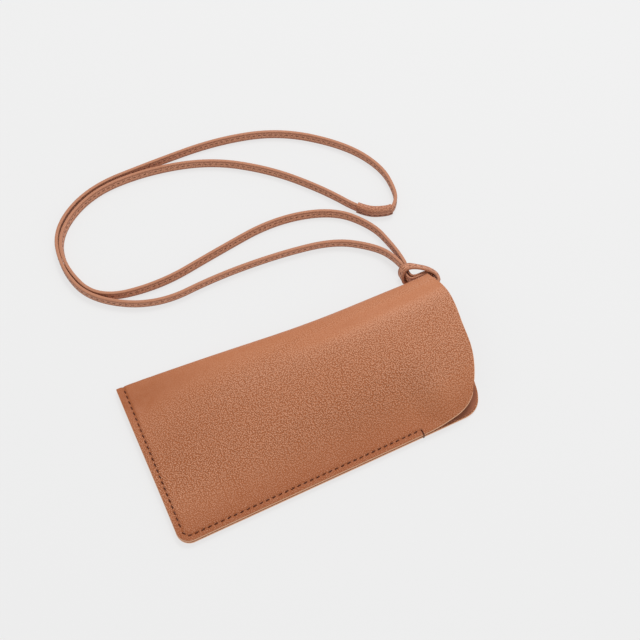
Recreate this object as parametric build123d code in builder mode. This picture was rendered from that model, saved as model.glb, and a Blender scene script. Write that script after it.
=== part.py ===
"""Soft leather pouch for glasses, with a neck strap hitched to the fold beside its mouth.

The pouch lies on its back panel. +X runs along it from the closed short edge to the mouth, +Y runs
across it from the sewn long edge to the folded long edge, and +Z is up. All sizes are millimetres.
"""

from build123d import *
import math
import os

# Driving dimensions
LENGTH = 170.0
CLOSED_WIDTH = 87.0
LEATHER = 1.2
LINING = 0.5
GLUE = 0.03
SEAM_MARGIN = 6.0
CORNER_RADIUS = 6.5

# How far the filled pouch draws in and rises from its closed end to its mouth
SEAM_SLOPE = 0.0335
FOLD_DRAW_IN = 5.8
FILL_REACH = 0.75
FOLD_RADIUS_CLOSED = 1.9
FOLD_RADIUS_MOUTH = 5.0
CROWN_CLOSED = 3.65
CROWN_MOUTH = 18.0

# Mouth edges, as straight lines with a rounded lower corner
MOUTH_SLANT_BACK = 0.185
MOUTH_SLANT_FRONT = 0.1745
FRONT_MOUTH_SETBACK = 0.6
BACK_CORNER_RADIUS = 10.0
FRONT_CORNER_RADIUS = 12.0
FREE_EDGE_SLANT = 0.24

# The free corner of the front, past the end of the seam
SEAM_END_X = 39.0
FREE_EDGE_X = 42.0
FREE_EDGE_START_LIFT = 0.35
FREE_EDGE_LIFT = 6.0
HINGE_TOP = (76.0, -10.0)
CORNER_GAP = 0.3

# Thread
STITCH_PITCH = 3.2
STITCH_LENGTH = 2.3
STITCH_WIDTH = 0.55
STITCH_HEIGHT = 0.35
STITCH_INSET = 2.8
TACK_LENGTH = 2.0
GROOVE_WIDTH = 0.9
GROOVE_DEPTH = 0.45

# Strap
STRAP_WIDTH = 5.0
STRAP_THICKNESS = 1.6
STRAP_THREAD_HEIGHT = 0.6
STRAP_THREAD_PROUD = 0.2
STRAP_THREAD_Z = 1.2
SLEEVE_BEFORE = 8.0
SLEEVE_AFTER = 9.3
SLEEVE_WALL = 0.85
SLEEVE_CLEARANCE = 0.05
SLEEVE_HEIGHT = 6.3
SLEEVE_POINT = 15

# Hitch
KNOT = (70.5, 47.5)
KNOT_RADIUS = 4.4
KNOT_Z = (0.4, 9.0)
KNOT_CLEARANCE = 0.3
HITCH_THICKNESS = 2 * STRAP_THICKNESS
HITCH_Z = (2.5, 7.5)
SLOT_X = 79.0
SLOT_SIZE = (4.4, 8.0, 5.6)
HITCH_ROUTE = [(70.5, 47.5), (80.5, 48.0), (87.8, 43.5), (88.0, 33.0), (84.0, 30.8), (79.0, 32.5),
               (79.0, 40.8), (68.5, 41.2), (70.5, 47.5)]
HITCH_RADII = [5.0, 3.5, 3.5, 2.5, 2.5, 1.9, 1.9]

# The strap's route in plan, chosen by hand: from the hitch along the near strand, round the far bend,
# back to the sleeve, round its tight turn, along the outer strand and home to the hitch.
STRAP_ROUTE = [
    (71.0, 51.0), (71.3, 62.0), (68.0, 79.0), (53.0, 96.3), (22.0, 101.3), (-13.0, 94.8),
    (-46.0, 88.0), (-74.5, 93.5), (-84.5, 117.5), (-81.5, 142.5), (-60.5, 158.3), (-28.0, 160.8),
    (6.0, 153.5), (33.0, 134.3), (53.5, 111.5), (70.3, 90.2), (81.0, 83.7), (87.0, 86.0),
    (87.8, 96.5), (86.0, 113.0), (73.5, 132.0), (48.0, 155.3), (14.0, 163.8), (-24.0, 164.4),
    (-60.0, 162.2), (-84.5, 146.8), (-87.5, 120.5), (-79.5, 94.0), (-52.0, 77.5), (-17.0, 83.0),
    (18.0, 82.3), (46.0, 78.3), (63.0, 66.5), (68.6, 51.0),
]

X_LEFT = -LENGTH / 2
X_MOUTH = LENGTH / 2
LEATHER_INSIDE = LEATHER + GLUE
SHEET_INSIDE = LEATHER_INSIDE + LINING
SEAM_STACK = 2 * SHEET_INSIDE + GLUE
STATIONS = [X_LEFT, X_LEFT + SEAM_MARGIN, -60.0, -35.0, -5.0, SEAM_END_X, FREE_EDGE_X, 90.0]
FAR = 60.0


def fill(x):
    """How full the pouch is at x: 0 along the closed edge, 1 from three quarters of the way on."""
    along = max(0.0, x - X_LEFT - SEAM_MARGIN) / (LENGTH - SEAM_MARGIN)
    return math.sin(math.pi / 2 * min(1.0, along / FILL_REACH))


def seam_y(x):
    return -CLOSED_WIDTH / 2 + SEAM_SLOPE * (x - X_LEFT - CORNER_RADIUS)


def fold_y(x):
    return CLOSED_WIDTH / 2 - FOLD_DRAW_IN * fill(x)


def fold_radius(x):
    return FOLD_RADIUS_CLOSED + (FOLD_RADIUS_MOUTH - FOLD_RADIUS_CLOSED) * fill(x)


def crown_z(x):
    return CROWN_CLOSED + (CROWN_MOUTH - CROWN_CLOSED) * fill(x)


def edge_z(x):
    """Height of the front's outer face along its lower edge: sewn down, then free and lifting."""
    if x <= SEAM_END_X:
        return SEAM_STACK
    rise = FREE_EDGE_LIFT * (x - FREE_EDGE_X) / (X_MOUTH - FREE_EDGE_X)
    return SEAM_STACK + FREE_EDGE_START_LIFT + rise


def front_arc(x, depth):
    """Three points of the front's bellied arc at station x, depth below the outer face."""
    low_y = seam_y(x) + SEAM_MARGIN
    high_y = fold_y(x) - fold_radius(x)
    low = (low_y, edge_z(x) - depth)
    middle = ((low_y + high_y) / 2, crown_z(x) - depth)
    high = (high_y, 2 * fold_radius(x) - depth)
    return low, middle, high


def front_height(x, y):
    """Height of the front's outer face at one place, read off the arc through its three points."""
    low, middle, high = front_arc(x, 0)
    if y <= low[0]:
        return low[1]
    share = (y - low[0]) / (high[0] - low[0])
    belly = middle[1] - (low[1] + high[1]) / 2
    return low[1] + (high[1] - low[1]) * share + 4 * belly * share * (1 - share)


def front_sheet_section(x, top_depth, bottom_depth):
    """Section across the front at station x, between two depths below its outer face."""
    top_low, top_middle, top_high = front_arc(x, top_depth)
    bottom_low, bottom_middle, bottom_high = front_arc(x, bottom_depth)
    top_edge = (seam_y(x), top_low[1])
    bottom_edge = (seam_y(x), bottom_low[1])
    with BuildSketch(Plane.YZ.offset(x)) as section:
        with BuildLine():
            Line(top_edge, top_low)
            ThreePointArc(top_low, top_middle, top_high)
            Line(top_high, bottom_high)
            ThreePointArc(bottom_high, bottom_middle, bottom_low)
            Line(bottom_low, bottom_edge)
            Line(bottom_edge, top_edge)
        make_face()
    return section.sketch


def spine_section(x, outer_depth, inner_depth):
    """Half ring round the folded edge at station x."""
    radius = fold_radius(x)
    centre_y = fold_y(x) - radius
    outer = radius - outer_depth
    inner = radius - inner_depth
    with BuildSketch(Plane.YZ.offset(x)) as section:
        with BuildLine():
            ThreePointArc((centre_y, radius - outer), (centre_y + outer, radius), (centre_y, radius + outer))
            Line((centre_y, radius + outer), (centre_y, radius + inner))
            ThreePointArc((centre_y, radius + inner), (centre_y + inner, radius), (centre_y, radius - inner))
            Line((centre_y, radius - inner), (centre_y, radius - outer))
        make_face()
    return section.sketch


def back_outline():
    """Plan of the back, left open past the fold, with its rounded corners on the sewn side."""
    foot_x = X_MOUTH - MOUTH_SLANT_BACK * (fold_y(X_MOUTH) - seam_y(X_MOUTH))
    top_x = X_MOUTH + MOUTH_SLANT_BACK * (FAR - fold_y(X_MOUTH))
    with BuildSketch() as outline:
        with BuildLine():
            FilletPolyline((X_LEFT, FAR), (X_LEFT, seam_y(X_LEFT)), (foot_x, seam_y(foot_x)), (top_x, FAR),
                           radius=[0, CORNER_RADIUS, BACK_CORNER_RADIUS, 0], close=True)
        make_face()
    return outline.sketch


def front_outline():
    """Plan of the front: past the seam's end its free edge draws in as it lifts."""
    top_x = X_MOUTH - FRONT_MOUTH_SETBACK + MOUTH_SLANT_FRONT * (FAR - fold_y(X_MOUTH))
    free_y = seam_y(FREE_EDGE_X)
    reach = (top_x - MOUTH_SLANT_FRONT * (FAR - free_y) - FREE_EDGE_X) / (1 - MOUTH_SLANT_FRONT * FREE_EDGE_SLANT)
    corner = (FREE_EDGE_X + reach, free_y + FREE_EDGE_SLANT * reach)
    with BuildSketch() as outline:
        with BuildLine():
            FilletPolyline((X_LEFT, FAR), (X_LEFT, seam_y(X_LEFT)), (FREE_EDGE_X, free_y), corner, (top_x, FAR),
                           radius=[0, CORNER_RADIUS, 0, FRONT_CORNER_RADIUS, 0], close=True)
        make_face()
    return outline.sketch


def corner_zone(gap):
    """Plan of everything on the free corner's side of its bending line, gap away from that line."""
    foot = Vector(FREE_EDGE_X, seam_y(FREE_EDGE_X))
    along = (Vector(*HINGE_TOP) - foot).normalized()
    across = Vector(along.Y, -along.X)
    start = foot - along * FAR + across * gap
    end = foot + along * 2 * FAR + across * gap
    with BuildSketch() as zone:
        with BuildLine():
            Polyline(start, end, end + across * FAR, start + across * FAR, close=True)
        make_face()
    return zone.sketch


def write(part, name):
    part.label = name
    export_step(part, os.path.join("parts", name + ".step"))


def flat_sheet(bottom, top):
    """One flat layer of the back, from the sewn edge to where the fold begins to rise."""
    with BuildPart() as sheet:
        with BuildSketch(Plane.XY.offset(bottom)):
            add(back_outline())
        extrude(amount=top - bottom)
        with BuildSketch(Plane.XY.offset(bottom)):
            with BuildLine():
                edge = [(x, fold_y(x) - fold_radius(x)) for x in STATIONS]
                Polyline((STATIONS[0], -FAR), *edge, (STATIONS[-1], -FAR), close=True)
            make_face()
        extrude(amount=top - bottom, mode=Mode.INTERSECT)
    return sheet.part


def spine_sheet(outer_depth, inner_depth):
    """One layer of the fold, cut to the mouth, with the slot that the strap passes through."""
    with BuildPart() as sheet:
        for x in STATIONS:
            add(spine_section(x, outer_depth, inner_depth))
        loft(ruled=True)
        with BuildSketch():
            add(back_outline())
        extrude(amount=FAR, mode=Mode.INTERSECT)
        slot_z = (HITCH_Z[0] + HITCH_Z[1]) / 2
        with Locations((SLOT_X, fold_y(SLOT_X), slot_z)):
            Box(*SLOT_SIZE, mode=Mode.SUBTRACT)
    return sheet.part


def front_sheet(top_depth, bottom_depth, free_corner):
    """One layer of the front: its free corner, or all the rest of it."""
    with BuildPart() as sheet:
        for x in STATIONS:
            add(front_sheet_section(x, top_depth, bottom_depth))
        loft(ruled=True)
        with BuildSketch():
            add(front_outline())
        extrude(amount=FAR, mode=Mode.INTERSECT)
        if free_corner:
            with BuildSketch():
                add(corner_zone(CORNER_GAP))
            extrude(amount=FAR, mode=Mode.INTERSECT)
        else:
            with BuildSketch():
                add(corner_zone(0))
            extrude(amount=FAR, mode=Mode.SUBTRACT)
    return sheet.part


def back_panel():
    """Outer leather of the back, with the shallow track its stitches have pulled into it."""
    with BuildPart() as panel:
        add(flat_sheet(0, LEATHER))
        with BuildSketch():
            with BuildLine():
                Polyline(*stitch_track())
            trace(line_width=GROOVE_WIDTH)
        extrude(amount=GROOVE_DEPTH, mode=Mode.SUBTRACT)
    return panel.part


def stitch_track():
    """The corners of the stitch line: down the short edge, then along the long one."""
    side_x = X_LEFT + STITCH_INSET
    top = (side_x, fold_y(side_x) - fold_radius(side_x) - STITCH_PITCH / 2)
    turn = CORNER_RADIUS
    side_end = (side_x, seam_y(X_LEFT) + turn)
    bottom_start = (X_LEFT + turn, seam_y(X_LEFT + turn) + STITCH_INSET)
    end_x = SEAM_END_X - TACK_LENGTH
    end = (end_x, seam_y(end_x) + STITCH_INSET)
    return [top, side_end, bottom_start, end]


def stitch_row(start, end):
    """Middles and direction of the stitches that fit between two points of the stitch line."""
    run = Vector(*end) - Vector(*start)
    count = max(1, round(run.length / STITCH_PITCH))
    direction = math.degrees(math.atan2(run.Y, run.X))
    middles = [Vector(*start) + run * ((i + 0.5) / count) for i in range(count)]
    return middles, direction


def seam_stitches(rows):
    """Both faces' stitches for some rows of the seam, as separate small solids."""
    with BuildPart() as thread:
        for start, end in rows:
            middles, direction = stitch_row(start, end)
            for middle in middles:
                top = front_height(middle.X, middle.Y) + GLUE
                for z in (top, GROOVE_DEPTH - STITCH_HEIGHT - GLUE):
                    spot = Plane((middle.X, middle.Y, z)).rotated((0, 0, direction))
                    with BuildSketch(spot):
                        SlotOverall(STITCH_LENGTH, STITCH_WIDTH)
                    extrude(amount=STITCH_HEIGHT)
    return thread.part


def bar_tack():
    """The seam's end: two short stitches side by side, and a turn of thread over the cut edge."""
    edge_y = seam_y(SEAM_END_X)
    with BuildPart() as tack:
        for share in (0.3, 0.7):
            x = SEAM_END_X - share * TACK_LENGTH
            with BuildSketch(Plane.XY.offset(SEAM_STACK + GLUE)):
                with Locations((x, edge_y + STITCH_INSET + STITCH_WIDTH)):
                    SlotOverall(STITCH_LENGTH, STITCH_WIDTH, rotation=90)
            extrude(amount=STITCH_HEIGHT)
        turn_x = SEAM_END_X - TACK_LENGTH / 2
        with Locations((turn_x, seam_y(turn_x) - STITCH_HEIGHT / 2 - GLUE, SEAM_STACK / 2)):
            Box(STITCH_WIDTH, STITCH_HEIGHT, SEAM_STACK)
    return tack.part


def corner_radii(points):
    """The largest gentle arc each corner of a route has room for."""
    radii = []
    for before, corner, after in zip(points, points[1:], points[2:]):
        run_in = Vector(*corner) - Vector(*before)
        run_out = Vector(*after) - Vector(*corner)
        half_turn = math.radians(run_in.get_angle(run_out)) / 2
        radii.append(0.45 * min(run_in.length, run_out.length) / math.tan(half_turn))
    return radii


def strap_solid(width, bottom, top):
    """A band standing on its edge along the strap's whole route, clear of the knot it swings on."""
    radii = corner_radii(STRAP_ROUTE)
    with BuildPart() as band:
        with BuildSketch(Plane.XY.offset(bottom)):
            with BuildLine():
                FilletPolyline(*STRAP_ROUTE, radius=radii)
            trace(line_width=width)
        extrude(amount=top - bottom)
        with Locations((*KNOT, 0)):
            Cylinder(KNOT_RADIUS + KNOT_CLEARANCE, FAR, mode=Mode.SUBTRACT)
    return band.part


def strap_thread():
    """The thread line low on both faces of the strap."""
    with BuildPart() as thread:
        top = STRAP_THREAD_Z + STRAP_THREAD_HEIGHT
        add(strap_solid(STRAP_THICKNESS + 2 * STRAP_THREAD_PROUD, STRAP_THREAD_Z, top))
        add(strap_solid(STRAP_THICKNESS, STRAP_THREAD_Z, top), mode=Mode.SUBTRACT)
        with BuildSketch():
            with BuildLine():
                sleeve_line(GLUE)
            trace(line_width=STRAP_THICKNESS + 2 * SLEEVE_WALL)
        extrude(amount=SLEEVE_HEIGHT, mode=Mode.SUBTRACT)
    return thread.part


def sleeve_line(extra):
    """The stretch of the strap's route that the sleeve covers."""
    corner = Vector(*STRAP_ROUTE[SLEEVE_POINT])
    before = (Vector(*STRAP_ROUTE[SLEEVE_POINT - 1]) - corner).normalized()
    after = (Vector(*STRAP_ROUTE[SLEEVE_POINT + 1]) - corner).normalized()
    radius = corner_radii(STRAP_ROUTE)[SLEEVE_POINT - 1]
    start = corner + before * (SLEEVE_BEFORE + extra)
    end = corner + after * (SLEEVE_AFTER + extra)
    return FilletPolyline(start, corner, end, radius=radius)


def sleeve():
    """Leather folded over the strap's two ends and sewn below them: open along its lower edge."""
    inside = STRAP_THICKNESS + 2 * SLEEVE_CLEARANCE
    with BuildPart() as wrap:
        with BuildSketch():
            with BuildLine():
                sleeve_line(0)
            trace(line_width=inside + 2 * SLEEVE_WALL)
        extrude(amount=SLEEVE_HEIGHT)
        with BuildSketch():
            with BuildLine():
                sleeve_line(1)
            trace(line_width=inside)
        extrude(amount=STRAP_WIDTH + SLEEVE_CLEARANCE, mode=Mode.SUBTRACT)
    return wrap.part


def sleeve_thread():
    """The thread line low on both faces of the sleeve."""
    face = STRAP_THICKNESS + 2 * (SLEEVE_CLEARANCE + SLEEVE_WALL)
    with BuildPart() as thread:
        for width, mode in ((face + 2 * STRAP_THREAD_PROUD, Mode.ADD), (face, Mode.SUBTRACT)):
            with BuildSketch(Plane.XY.offset(STRAP_THREAD_Z)):
                with BuildLine():
                    sleeve_line(-1)
                trace(line_width=width)
            extrude(amount=STRAP_THREAD_HEIGHT, mode=mode)
    return thread.part


def hitch_loop():
    """The strap's doubled bight: from the knot round the mouth's edge, through the slot and back."""
    with BuildPart() as loop:
        with BuildSketch(Plane.XY.offset(HITCH_Z[0])):
            with BuildLine():
                FilletPolyline(*HITCH_ROUTE[:-1], (KNOT[0] + GLUE, KNOT[1]), radius=HITCH_RADII)
            trace(line_width=HITCH_THICKNESS)
        extrude(amount=HITCH_Z[1] - HITCH_Z[0])
        with Locations((*KNOT, 0)):
            Cylinder(KNOT_RADIUS, FAR, mode=Mode.SUBTRACT)
    return loop.part


def hitch_knot():
    """The hitch: the bight wrapped round its own tails, as a rounded barrel."""
    with BuildPart() as knot:
        with BuildSketch(Plane.XY.offset(KNOT_Z[0])):
            with Locations(KNOT):
                Circle(KNOT_RADIUS)
        extrude(amount=KNOT_Z[1] - KNOT_Z[0])
        fillet(knot.edges().filter_by(GeomType.CIRCLE), KNOT_RADIUS / 3)
    return knot.part


def main():
    os.makedirs("parts", exist_ok=True)
    track = stitch_track()
    write(back_panel(), "back_panel")
    write(spine_sheet(0, LEATHER), "fold_spine")
    write(front_sheet(0, LEATHER, False), "front_panel")
    write(front_sheet(0, LEATHER, True), "front_corner")
    write(flat_sheet(LEATHER_INSIDE, SHEET_INSIDE), "back_lining")
    write(spine_sheet(LEATHER_INSIDE, SHEET_INSIDE), "spine_lining")
    write(front_sheet(LEATHER_INSIDE, SHEET_INSIDE, False), "front_lining")
    write(front_sheet(LEATHER_INSIDE, SHEET_INSIDE, True), "corner_lining")
    write(seam_stitches([track[0:2]]), "side_seam_thread")
    write(seam_stitches([track[1:3], track[2:4]]), "bottom_seam_thread")
    write(bar_tack(), "seam_bar_tack")
    strap = strap_solid(STRAP_THICKNESS, 0, STRAP_WIDTH)
    write(strap, "neck_strap")
    write(strap_thread(), "strap_thread")
    write(sleeve(), "strap_joint_sleeve")
    write(sleeve_thread(), "sleeve_thread")
    write(hitch_loop(), "hitch_loop")
    write(hitch_knot(), "hitch_knot")
    print("strap radii", [round(radius, 1) for radius in corner_radii(STRAP_ROUTE)])
    print("strap length", round(strap.volume / (STRAP_THICKNESS * STRAP_WIDTH), 1))


main()
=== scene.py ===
"""Soft leather pouch for glasses with a hitched neck strap: looks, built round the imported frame.

The frame's axes: +X from the closed short edge to the mouth, +Y from the sewn long edge to the folded
one, +Z up. Lengths are metres; MM turns millimetres into them.
"""

import math

import bpy
import numpy as np
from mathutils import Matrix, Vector, noise


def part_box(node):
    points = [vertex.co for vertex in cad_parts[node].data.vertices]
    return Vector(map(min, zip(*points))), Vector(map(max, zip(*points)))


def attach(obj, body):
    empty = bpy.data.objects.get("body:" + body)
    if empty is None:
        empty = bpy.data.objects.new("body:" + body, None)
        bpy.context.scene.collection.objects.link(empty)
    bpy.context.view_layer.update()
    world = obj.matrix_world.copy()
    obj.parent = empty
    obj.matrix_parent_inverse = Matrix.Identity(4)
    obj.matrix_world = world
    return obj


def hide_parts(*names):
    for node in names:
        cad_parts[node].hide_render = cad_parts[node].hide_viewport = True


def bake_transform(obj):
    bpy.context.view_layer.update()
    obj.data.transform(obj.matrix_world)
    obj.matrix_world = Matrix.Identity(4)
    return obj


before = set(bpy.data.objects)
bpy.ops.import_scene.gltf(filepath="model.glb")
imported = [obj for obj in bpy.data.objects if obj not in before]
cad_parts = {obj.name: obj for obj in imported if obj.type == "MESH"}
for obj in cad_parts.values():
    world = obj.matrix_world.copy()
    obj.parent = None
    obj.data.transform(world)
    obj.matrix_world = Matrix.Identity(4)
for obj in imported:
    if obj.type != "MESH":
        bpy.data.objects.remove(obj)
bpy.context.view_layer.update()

MM = 0.001
UP = np.array((0.0, 0.0, 1.0))

# ---- sizes from the frame
X_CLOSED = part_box("back_panel")[0].x
X_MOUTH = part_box("back_panel")[1].x
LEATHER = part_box("back_panel")[1].z
CROWN_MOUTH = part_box("front_panel")[1].z
FOLD_CLOSED_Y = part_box("fold_spine")[1].y
STRAP_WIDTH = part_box("neck_strap")[1].z

# ---- leather and seam
SHEET_GAP = 0.03 * MM
LINING = 0.5 * MM
LINING_DEPTH = LEATHER + SHEET_GAP
SHEET_DEPTH = LINING_DEPTH + LINING
SEAM_STACK = 2 * SHEET_DEPTH + SHEET_GAP
CORNER_RADIUS = 6.5 * MM
SEAM_START_Y = -43.2 * MM
SEAM_SLOPE = 0.0355
SEAM_MARGIN = 3.6 * MM
SEAM_END_X = 39.0 * MM
SEAM_TOP = 88.0 * MM
STITCH_INSET = 2.8 * MM
STITCH_PITCH = 3.2 * MM
STITCH_SLANT = 9.0
STRAP_THICKNESS = 1.75 * MM
STRAP_GROOVE_AT = 0.2 * MM
STRAP_STITCH_PITCH = 3.0 * MM
LEATHER_EDGE = 0.25 * MM
LINING_EDGE = 0.08 * MM
LINING_INSET = 1.0 * MM

# ---- the pouch's form
FOLD_DRAW_IN = 5.8 * MM
FOLD_SAG = 1.3 * MM
FOLD_RADIUS_CLOSED = 1.9 * MM
FOLD_RADIUS_MOUTH = 5.0 * MM
CROWN_CLOSED = 3.75 * MM
PATTERN_WIDTH = 90.0 * MM
BACK_WIDTH = 80.0 * MM
CLOSED_FLARE = 0.8 * MM
FREE_EDGE_LIFT = 6.2 * MM
# In plan, the free corner's rounded tip and where the mouth's edge leaves its rounding.
TIP_X, TIP_Y = 69.1 * MM, -29.5 * MM
EDGE_X, EDGE_Y = 76.7 * MM, -11.0 * MM
MOUTH_SECTION_X = 83.0 * MM
MOUTH_SLANT = 0.1745
MOUTH_PULL = 6.0 * MM
# The back's mouth edge leans by 0.185 in plan, where the pattern's 80 mm take up 76 mm.
BACK_SLANT = 0.185 * 76.0 / 80.0

# ---- camera and stage
CAMERA_AZIMUTH = -24.09
CAMERA_ELEVATION = 60.0
CAMERA_DISTANCE = 0.600
CAMERA_TARGET = Vector((0.0203, 0.0397, 0.0))
FLOOR_REACH = 6.0
WHITE = (1.0, 1.0, 1.0, 1.0)


def add_object(name, data):
    obj = bpy.data.objects.new(name, data)
    bpy.context.collection.objects.link(obj)
    return obj


def make_camera():
    data = bpy.data.cameras.new("camera")
    data.lens = 67.5
    data.sensor_width = 36.0
    camera = add_object("camera", data)
    turn = math.radians(CAMERA_AZIMUTH)
    lift = math.radians(CAMERA_ELEVATION)
    back = Vector((math.sin(turn) * math.cos(lift), -math.cos(turn) * math.cos(lift), math.sin(lift)))
    camera.location = CAMERA_TARGET + back * CAMERA_DISTANCE
    camera.rotation_euler = (-back).to_track_quat("-Z", "Y").to_euler()
    bpy.context.scene.camera = camera


def make_light(name, place, size, power):
    data = bpy.data.lights.new(name, "AREA")
    data.shape = "DISK"
    data.size = size
    data.energy = power
    light = add_object(name, data)
    light.location = place
    light.rotation_euler = (-Vector(place)).to_track_quat("-Z", "Y").to_euler()


def make_stage():
    """A plain pale floor, soft light from all round, a large key light beyond the fold and a fill."""
    world = bpy.data.worlds.new("studio")
    bpy.context.scene.world = world
    world.use_nodes = True
    set_inputs(world.node_tree, world.node_tree.nodes["Background"], Color=WHITE, Strength=0.60)
    bpy.context.scene.view_settings.view_transform = "Standard"
    make_light("key", (0.45, 0.60, 1.20), 0.6, 10.0)
    make_light("fill", (0.9, -0.8, 1.0), 1.2, 3.0)

    mesh = bpy.data.meshes.new("floor")
    corners = [(x * FLOOR_REACH, y * FLOOR_REACH, 0) for x, y in ((-1, -1), (1, -1), (1, 1), (-1, 1))]
    mesh.from_pydata(corners, [], [(0, 1, 2, 3)])
    floor = add_object("floor", mesh)
    floor.location.z = -0.05 * MM
    material, tree, shader = principled("floor_paper", (0.14, 0.14, 0.14), 0.9)
    set_inputs(tree, shader, Emission_Color=WHITE, Emission_Strength=0.69)
    mesh.materials.append(material)


# ---- material helpers
def srgb(red, green, blue):
    """A colour seen on a screen, as the linear numbers that shaders use."""
    return tuple(value / 12.92 if value <= 0.04045 else ((value + 0.055) / 1.055) ** 2.4
                 for value in (red / 255, green / 255, blue / 255))


def principled(name, colour, roughness):
    material = bpy.data.materials.new(name)
    material.use_nodes = True
    tree = material.node_tree
    shader = tree.nodes["Principled BSDF"]
    set_inputs(tree, shader, Base_Color=(*colour, 1.0), Roughness=roughness)
    return material, tree, shader


def feed(tree, socket, value):
    """Link a socket's value to another socket, or set any other value."""
    if isinstance(value, bpy.types.NodeSocket):
        tree.links.new(value, socket)
    else:
        socket.default_value = value


def set_inputs(tree, node, **inputs):
    for label, value in inputs.items():
        feed(tree, node.inputs[label.replace("_", " ")], value)


def add_node(tree, kind, **inputs):
    made = tree.nodes.new(kind)
    set_inputs(tree, made, **inputs)
    return made


def add_noise(tree, place, scale, detail=3.0, roughness=0.5):
    made = add_node(tree, "ShaderNodeTexNoise", Vector=place, Scale=scale, Detail=detail,
                    Roughness=roughness)
    return made.outputs["Fac"]


def remap(tree, value, low=0.0, high=1.0, new_low=0.0, new_high=1.0):
    made = add_node(tree, "ShaderNodeMapRange", Value=value, From_Min=low, From_Max=high,
                    To_Min=new_low, To_Max=new_high)
    return made.outputs["Result"]


def mix(tree, share, first, second):
    made = tree.nodes.new("ShaderNodeMix")
    made.data_type = "RGBA"
    for index, value in ((0, share), (6, first), (7, second)):
        feed(tree, made.inputs[index], (*value, 1.0) if isinstance(value, tuple) else value)
    return made.outputs[2]


def maths(tree, kind, first, second):
    made = tree.nodes.new("ShaderNodeMath")
    made.operation = kind
    feed(tree, made.inputs[0], first)
    feed(tree, made.inputs[1], second)
    return made.outputs[0]


def vertex_value(tree, name, output="Fac"):
    made = tree.nodes.new("ShaderNodeAttribute")
    made.attribute_name = name
    return made.outputs[output]


def object_place(tree):
    return tree.nodes.new("ShaderNodeTexCoord").outputs["Object"]


def bump(tree, shader, height, distance, strength):
    made = add_node(tree, "ShaderNodeBump", Height=height, Strength=strength, Distance=distance)
    set_inputs(tree, shader, Normal=made.outputs["Normal"])


# ---- materials
def leather_material(name, face, light, dark_mottle_and_shade, edge, pebble, relief):
    """Grained leather: painted highlights on the pebbles' tops and painted shade between them, random
    mottling, painted light and shade by vertex, and a cut edge of its own colour, which on the pouch is
    pale enough to be partly a painted highlight.
    """
    material, tree, shader = principled(name, face, 0.55)
    place = object_place(tree)
    painted_shading = vertex_value(tree, "painted_shading")

    wide = remap(tree, add_noise(tree, place, 38.0), 0.35, 0.65)
    close = remap(tree, add_noise(tree, place, 260.0, 2.0), 0.3, 0.7)
    # Painted light and shade by vertex: towards the pale colour where the painted shading is above zero,
    # towards the dark one where it is below.
    colour = mix(tree, remap(tree, painted_shading), face, light)
    colour = mix(tree, remap(tree, painted_shading, 0.0, -1.0), colour, dark_mottle_and_shade)
    colour = mix(tree, remap(tree, wide, 0.0, 1.0, 0.0, 0.07), colour, dark_mottle_and_shade)
    colour = mix(tree, remap(tree, close, 0.0, 1.0, 0.0, 0.06), colour, light)

    cells = add_node(tree, "ShaderNodeTexVoronoi", Vector=vertex_value(tree, "pattern", "Vector"),
                     Scale=1.0 / pebble, Randomness=0.92)
    cells.voronoi_dimensions = "2D"
    cells.feature = "SMOOTH_F1"
    cells.inputs["Smoothness"].default_value = 0.2
    dome = remap(tree, cells.outputs["Distance"], 0.05, 0.60, 1.0, 0.0)
    pores = add_noise(tree, place, 1.3 / pebble, 2.0)
    grained = vertex_value(tree, "grain")
    pebble_rise = maths(tree, "ADD", dome, maths(tree, "MULTIPLY", pores, 0.25))
    pebble_light_and_shade = remap(tree, pebble_rise, 0.15, 1.10)
    # Painted highlights on the pebbles' tops and painted shade in the hollows between them.
    for end, strongest, paint in ((0.0, 0.80, dark_mottle_and_shade), (1.0, 0.88, light)):
        shown = maths(tree, "MULTIPLY", remap(tree, pebble_light_and_shade, 0.5, end, 0.0, strongest), grained)
        colour = mix(tree, shown, colour, paint)
    # The cut edge in its own colour; on the pouch this is pale enough to be partly a painted highlight
    # along the rim.
    colour = mix(tree, remap(tree, vertex_value(tree, "cut")), colour, edge)

    height = maths(tree, "ADD", maths(tree, "MULTIPLY", dome, 0.7), maths(tree, "MULTIPLY", pores, 0.6))
    bump(tree, shader, maths(tree, "MULTIPLY", height, grained), relief, 1.0)
    rough = maths(tree, "ADD", remap(tree, dome, 0.0, 1.0, 0.62, 0.44),
                  remap(tree, wide, 0.0, 1.0, -0.03, 0.05))
    set_inputs(tree, shader, Base_Color=colour, Roughness=rough, Specular_IOR_Level=0.32,
               Sheen_Weight=0.03, Sheen_Roughness=0.5)
    return material


def lining_material():
    """Thin napped microfibre: short brushed fibres and soft patches where the nap lies over."""
    material, tree, shader = principled("lining_microfibre", srgb(150, 92, 66), 0.95)
    place = object_place(tree)
    nap = remap(tree, add_noise(tree, place, 90.0, 4.0, 0.6), 0.3, 0.7)
    stretched = add_node(tree, "ShaderNodeMapping", Vector=place, Scale=(700.0, 2600.0, 2600.0))
    fibre = add_noise(tree, stretched.outputs["Vector"], 1.0, 4.0, 0.7)
    colour = mix(tree, nap, srgb(148, 88, 62), srgb(176, 110, 80))
    colour = mix(tree, remap(tree, fibre, 0.35, 0.65, 0.0, 0.4), colour, srgb(108, 62, 42))
    bump(tree, shader, fibre, 0.08 * MM, 0.7)
    set_inputs(tree, shader, Base_Color=colour, Sheen_Weight=0.35, Sheen_Roughness=0.4)
    return material


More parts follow.
